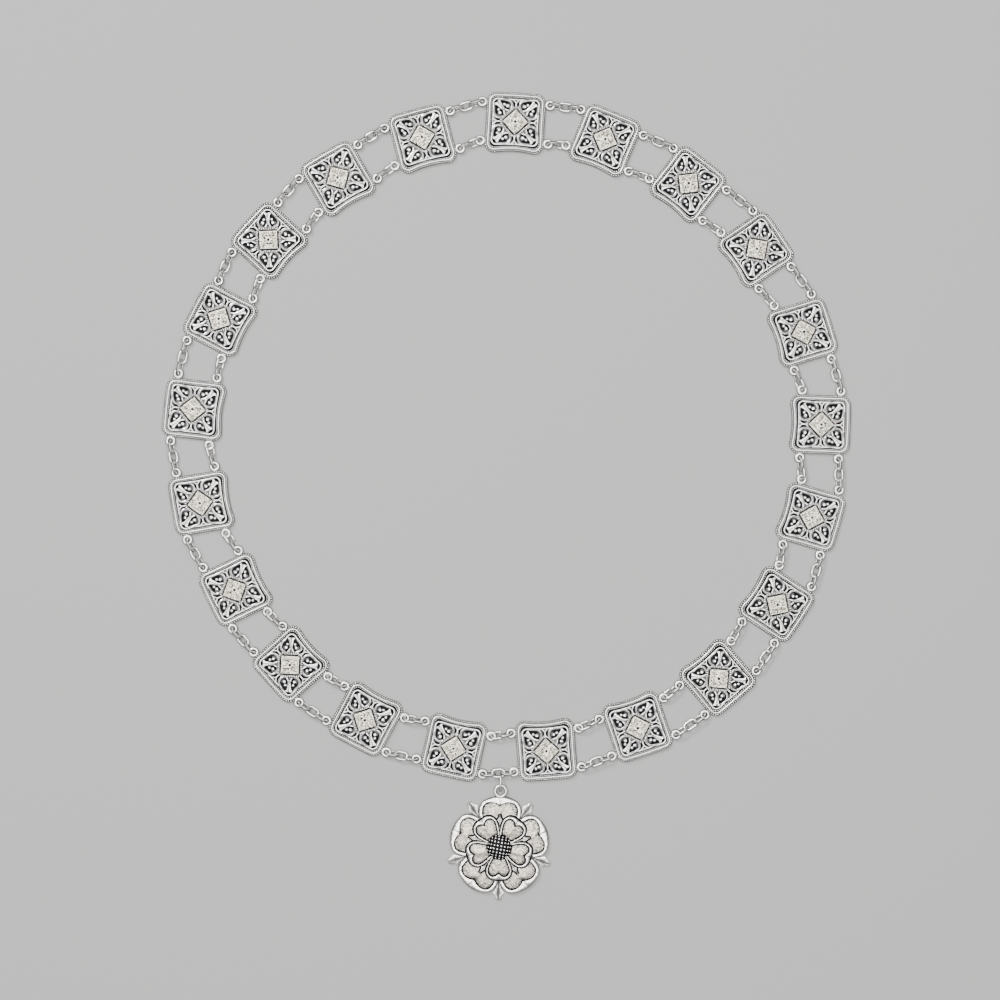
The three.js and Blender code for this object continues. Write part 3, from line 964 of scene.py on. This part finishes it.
BAIL_REACH = 2.8
BAIL_WIRE = 1.4
BAIL_LIFT = 2.3
BOSS_LOW = 2.9
BOSS_HIGH = 6.6
PETAL_COUNT = 5
CORE_RADIUS = 15.5
INNER_CORE_SHARE = 0.62


def rose_draft():
    """The whole rose about its own middle, +Y towards the bail."""
    draft = Draft()
    outer = petal(OUTER_PETAL)
    inner = petal(INNER_PETAL)
    outer_barb = barb(OUTER_BARB, low=0.1, rise=1.9, dark=0.14)
    inner_barb = barb(INNER_BARB, low=1.6, rise=2.5)
    core = circle(CORE_RADIUS, 40)
    plate(draft, core, [], low=0.0, high=1.3)
    plate(draft, [point * INNER_CORE_SHARE for point in core], [], low=1.0, high=2.9)
    turns = [Matrix.Rotation(TAU * index / PETAL_COUNT / 2, 4, "Z") for index in range(2 * PETAL_COUNT)]
    for on_axis, between in zip(turns[::2], turns[1::2]):
        draft.join(outer, on_axis)
        draft.join(outer_barb, between)
    ground = BVHTree.FromPolygons([Vector(point) for point in draft.points], draft.faces)
    inner_outline = spline(mirrored(INNER_PETAL["edge"]), 5, closed=True)
    for on_axis, between in zip(turns[::2], turns[1::2]):
        draft.join(inner, between)
        draft.join(inner_barb, on_axis)
        corner_shade(draft, moved(inner_outline, between), ground)
        corner_shade(draft, moved(barb_outline(INNER_BARB), on_axis), ground)
    radius = sizes().boss_radius / MM
    draft.join(boss_dome(BOSS_LOW, BOSS_HIGH, radius))
    draft.read_mesh(boss_seeds(BOSS_LOW, BOSS_HIGH, radius))
    bail_middle = Vector((0, OUTER_PETAL["edge"][-1][1] + BAIL_REACH, BAIL_LIFT))
    wire_loop(draft, oval(bail_middle, BAIL_REACH, BAIL_REACH, 32), BAIL_WIRE / 2, sides=12)
    return draft


# Finishes

# Where the tarnish and painted shade begin to show and where they are full, and the cloud's share on plain
# metal.
TARNISH_AND_SHADE_FROM = 0.12
TARNISH_AND_SHADE_FULL = 0.85
PLAIN_CLOUD = 0.15


def group_with(name, inputs, outputs):
    """A shader node group whose named inputs and outputs are all plain values."""
    tree = bpy.data.node_groups.new(name, "ShaderNodeTree")
    for label, default in inputs:
        socket = tree.interface.new_socket(label, in_out="INPUT", socket_type="NodeSocketFloat")
        socket.default_value = default
    for label in outputs:
        tree.interface.new_socket(label, in_out="OUTPUT", socket_type="NodeSocketFloat")
    return tree, tree.nodes.new("NodeGroupInput"), tree.nodes.new("NodeGroupOutput")


def mix_node(tree, kind, factor, first, second):
    return add_node(tree, "ShaderNodeMix", {"Factor": factor, "A": first, "B": second}, data_type=kind)


def tarnish_and_shade_group():
    """Where the blackening lies: the piece's own tarnish and painted shade, broken up by a cloud that is
    strongest on satin.
    """
    tree, given, made = group_with("Tarnish", (("Cloud Scale", 1100.0), ("Cloud Amount", 1.0)), ("Mask",))
    place = add_node(tree, "ShaderNodeTexCoord", {})
    value = add_node(tree, "ShaderNodeAttribute", {}, attribute_name="tarnish")
    satin = add_node(tree, "ShaderNodeAttribute", {}, attribute_name="satin")
    cloud = add_node(tree, "ShaderNodeTexNoise", {
        "Vector": (place, "Object"), "Scale": (given, "Cloud Scale"), "Detail": 3.0})
    centred = math_node(tree, "SUBTRACT", (cloud, "Fac"), 0.5)
    share = math_node(tree, "ADD", (satin, "Fac"), PLAIN_CLOUD)
    amount = math_node(tree, "MULTIPLY", (share, 0), (given, "Cloud Amount"))
    sized = math_node(tree, "MULTIPLY", (centred, 0), (amount, 0))
    summed = math_node(tree, "ADD", (value, "Fac"), (sized, 0))
    edge = add_node(tree, "ShaderNodeMapRange", {
        "Value": (summed, 0), "From Min": TARNISH_AND_SHADE_FROM, "From Max": TARNISH_AND_SHADE_FULL,
    }, interpolation_type="SMOOTHSTEP")
    fill_inputs(tree, made, {"Mask": (edge, "Result")})
    return tree


def stipple_group():
    """Height of a punched ground where the piece's satin value is high, and of soft dents everywhere."""
    tree, given, made = group_with("Stipple", (
        ("Punch Scale", 2600.0), ("Punch Depth", 0.2), ("Dent Scale", 420.0), ("Dent Depth", 1.0),
    ), ("Height", "Satin"))
    place = add_node(tree, "ShaderNodeTexCoord", {})
    satin = add_node(tree, "ShaderNodeAttribute", {}, attribute_name="satin")
    punch = add_node(tree, "ShaderNodeTexVoronoi", {
        "Vector": (place, "Object"), "Scale": (given, "Punch Scale")})
    dents = add_node(tree, "ShaderNodeTexNoise", {
        "Vector": (place, "Object"), "Scale": (given, "Dent Scale"), "Detail": 2.0})
    shallow = math_node(tree, "MULTIPLY", (punch, "Distance"), (given, "Punch Depth"))
    punched = math_node(tree, "MULTIPLY", (shallow, 0), (satin, "Fac"))
    dented = math_node(tree, "MULTIPLY", (dents, "Fac"), (given, "Dent Depth"))
    both = math_node(tree, "ADD", (punched, 0), (dented, 0))
    fill_inputs(tree, made, {"Height": (both, 0), "Satin": (satin, "Fac")})
    return tree


def silver_material(name, field, tarnish, roughness, bump):
    """Bright metal with satin fields of the given colour, and blackened recesses and painted shade in the
    oxide colour.
    """
    material = bpy.data.materials.new(name)
    material.use_nodes = True
    tree = material.node_tree
    groups = bpy.data.node_groups
    mask = add_node(tree, "ShaderNodeGroup", {}, node_tree=groups.get("Tarnish") or tarnish_and_shade_group())
    fill_inputs(tree, mask, {"Cloud Scale": tarnish["scale"], "Cloud Amount": tarnish["cloud"]})
    ground = add_node(tree, "ShaderNodeGroup", {}, node_tree=groups.get("Stipple") or stipple_group())
    metal = mix_node(tree, "RGBA", (ground, "Satin"), (*colours().silver, 1), (*field, 1))
    colour = mix_node(tree, "RGBA", (mask, "Mask"), (metal, "Result"), (*colours().oxide_and_shade, 1))
    rough = mix_node(tree, "FLOAT", (ground, "Satin"), roughness["polished"], roughness["satin"])
    dull = mix_node(tree, "FLOAT", (mask, "Mask"), (rough, "Result"), roughness["oxide_and_shade"])
    relief = add_node(tree, "ShaderNodeBump", {
        "Strength": bump["strength"], "Distance": bump["depth"], "Height": (ground, "Height")})
    fill_inputs(tree, tree.nodes["Principled BSDF"], {
        "Metallic": 1.0, "Base Color": (colour, "Result"), "Roughness": (dull, "Result"),
        "Normal": (relief, "Normal")})
    return material


def antique_silver():
    return bpy.data.materials.get("plaque_silver") or silver_material(
        "plaque_silver", colours().ivory, {"scale": 1300, "cloud": 4.2},
        {"polished": 0.25, "satin": 0.42, "oxide_and_shade": 0.6}, {"strength": 1.0, "depth": 0.0002})


def rose_silver():
    return bpy.data.materials.get("rose_silver") or silver_material(
        "rose_silver", colours().cream, {"scale": 1300, "cloud": 1.8},
        {"polished": 0.25, "satin": 0.5, "oxide_and_shade": 0.6}, {"strength": 1.0, "depth": 0.00036})


def floor_material():
    material = bpy.data.materials.new("floor")
    material.use_nodes = True
    tree = material.node_tree
    fill_inputs(tree, tree.nodes["Principled BSDF"], {"Base Color": (*colours().floor, 1), "Roughness": 0.9})
    return material


# Operators

class COLLAR_OT_plaques(bpy.types.Operator):
    """Build the pierced plaques, each with its four cast eyes"""

    bl_idname = "collar.plaques"
    bl_label = "Plaques"

    def execute(self, context):
        shift = ring_shift()
        shape = mesh_from(plaque_template(), "plaque_shape")
        for index in range(context.scene.collar_sizes.plaque_count):
            mesh = shape.copy()
            place = shift @ plaque_place(index)
            metres = Matrix.Translation(place.translation * MM) @ place.to_3x3().to_4x4()
            mesh.transform(metres)
            number = f"{index + 1:02d}"
            finished_piece(f"pierced_plaque_{number}", mesh, antique_silver(), [f"plaque_{number}"])
        bpy.data.meshes.remove(shape)
        return {"FINISHED"}


class COLLAR_OT_chain_links(bpy.types.Operator):
    """Build the chain links of the outer and inner strands"""

    bl_idname = "collar.chain_links"
    bl_label = "Chain links"

    def execute(self, context):
        count = context.scene.collar_sizes.plaque_count
        low_gap = count // 2
        gaps = [gap for gap in range(count) if gap != low_gap]
        outer = [place for gap in gaps for place in strand_links(gap, "outer", OUTER_LEANS)]
        inner = [place for gap in range(count) for place in strand_links(gap, "inner", INNER_LEANS)]
        links_piece("outer_links", outer, [f"outer_strand_{gap + 1:02d}" for gap in gaps])
        links_piece("inner_links", inner, [f"plaque_{gap + 1:02d}" for gap in range(count)])
        links_piece("pendant_links", strand_links(low_gap, "outer", PENDANT_LEANS), ["pendant_strand"])
        return {"FINISHED"}


class COLLAR_OT_jump_ring(bpy.types.Operator):
    """Build the oval jump ring that carries the rose"""

    bl_idname = "collar.jump_ring"
    bl_label = "Jump ring"

    def execute(self, context):
        low, high = (Vector(corner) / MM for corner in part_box("jump_ring"))
        reach = (high - low) / 2
        upright = Matrix(((0, 0, 1), (1, 0, 0), (0, 1, 0)))
        draft = Draft()
        line = oval((low + high) / 2, reach.y - JUMP_WIRE / 2, reach.z - JUMP_WIRE / 2, 36, upright)
        wire_loop(draft, line, JUMP_WIRE / 2, sides=12)
        mesh = mesh_from(draft, "jump_ring_wire")
        finished_piece("jump_ring_wire", mesh, antique_silver(), ["jump_ring"])
        return {"FINISHED"}


class COLLAR_OT_rose(bpy.types.Operator):
    """Build the double rose with its barbs, boss and bail"""

    bl_idname = "collar.rose"
    bl_label = "Rose pendant"

    def execute(self, context):
        low, high = (Vector(corner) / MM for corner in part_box("rose_pendant"))
        top = OUTER_PETAL["edge"][-1][1] + 2 * BAIL_REACH + BAIL_WIRE / 2
        middle = Vector(((low.x + high.x) / 2, high.y - top, 0))
        mesh = mesh_from(rose_draft(), "double_rose", Matrix.Translation(middle))
        finished_piece("double_rose", mesh, rose_silver(), ["rose_pendant"])
        return {"FINISHED"}


class COLLAR_OT_stage(bpy.types.Operator):
    """Lay the pale floor and set the studio light and the camera"""

    bl_idname = "collar.stage"
    bl_label = "Stage"

    def execute(self, context):
        mesh = bpy.data.meshes.new("floor")
        half = FLOOR_SIZE / 2
        mesh.from_pydata([(-half, -half, 0), (half, -half, 0), (half, half, 0), (-half, half, 0)], [],
                         [(0, 1, 2, 3)])
        mesh.materials.append(floor_material())
        floor = bpy.data.objects.new("floor", mesh)
        context.scene.collection.objects.link(floor)
        set_lights(context.scene)
        set_camera(context.scene)
        return {"FINISHED"}


def set_lights(scene):
    """A broad soft light overhead and a smaller, brighter one from the upper left."""
    for name, spot, size, power in (
        ("overhead", (0.0, 0.1, 2.0), 1.8, 70),
        ("key", (-0.9, 1.1, 1.6), 0.35, 30),
    ):
        light = bpy.data.lights.new(name, "AREA")
        light.size = size
        light.energy = power
        lamp = bpy.data.objects.new(name, light)
        lamp.location = spot
        lamp.rotation_euler = (-Vector(spot)).to_track_quat("-Z", "Y").to_euler()
        scene.collection.objects.link(lamp)
    world = bpy.data.worlds.new("studio")
    world.use_nodes = True
    tree = world.node_tree
    fill_inputs(tree, tree.nodes["Background"], {"Color": (0.9, 0.92, 0.95, 1), "Strength": 0.36})
    scene.world = world


# Where the photo's frame puts the ring: its middle in pixels, its turn and its scale.
PHOTO_PIXELS = 1000
RING_MIDDLE_PIXEL = (508.2, 440.0)
RING_RADIUS_PIXELS = 314.1
PHOTO_TURN = math.radians(1.26)
LENS = 100
SENSOR = 36


def set_camera(scene):
    """Straight down, turned and shifted so that the ring lies as in the photo."""
    pixel = ring_radius() * MM / RING_RADIUS_PIXELS
    across, down = RING_MIDDLE_PIXEL
    aside = Vector((across - PHOTO_PIXELS / 2, PHOTO_PIXELS / 2 - down, 0)) * pixel
    middle = ring_shift().translation * MM
    spot = middle - Matrix.Rotation(PHOTO_TURN, 3, "Z") @ aside
    data = bpy.data.cameras.new("camera")
    data.lens = LENS
    data.sensor_width = SENSOR
    camera = bpy.data.objects.new("camera", data)
    camera.location = (spot.x, spot.y, PHOTO_PIXELS * pixel * LENS / SENSOR)
    camera.rotation_euler = Euler((0, 0, PHOTO_TURN))
    scene.collection.objects.link(camera)
    scene.camera = camera


class COLLAR_PT_pieces(bpy.types.Panel):
    """Lists the collar's pieces and their sizes"""

    bl_idname = "COLLAR_PT_pieces"
    bl_label = "Livery Collar"
    bl_space_type = "VIEW_3D"
    bl_region_type = "UI"
    bl_category = "Collar"

    def draw(self, context):
        layout = self.layout
        for operator in OPERATORS:
            layout.operator(operator.bl_idname)
        for group in (context.scene.collar_sizes, context.scene.collar_colours):
            for label in group.bl_rna.properties.keys():
                if label not in {"rna_type", "name"}:
                    layout.prop(group, label)


OPERATORS = (COLLAR_OT_plaques, COLLAR_OT_chain_links, COLLAR_OT_jump_ring, COLLAR_OT_rose, COLLAR_OT_stage)
CLASSES = (CollarSizes, CollarColours, *OPERATORS, COLLAR_PT_pieces)


def register():
    for entry in CLASSES:
        bpy.utils.register_class(entry)
    bpy.types.Scene.collar_sizes = bpy.props.PointerProperty(type=CollarSizes)
    bpy.types.Scene.collar_colours = bpy.props.PointerProperty(type=CollarColours)


def unregister():
    del bpy.types.Scene.collar_colours
    del bpy.types.Scene.collar_sizes
    for entry in reversed(CLASSES):
        bpy.utils.unregister_class(entry)


def main():
    register()
    bpy.ops.collar.plaques()
    bpy.ops.collar.chain_links()
    bpy.ops.collar.jump_ring()
    bpy.ops.collar.rose()
    bpy.ops.collar.stage()


if __name__ == "__main__":
    main()
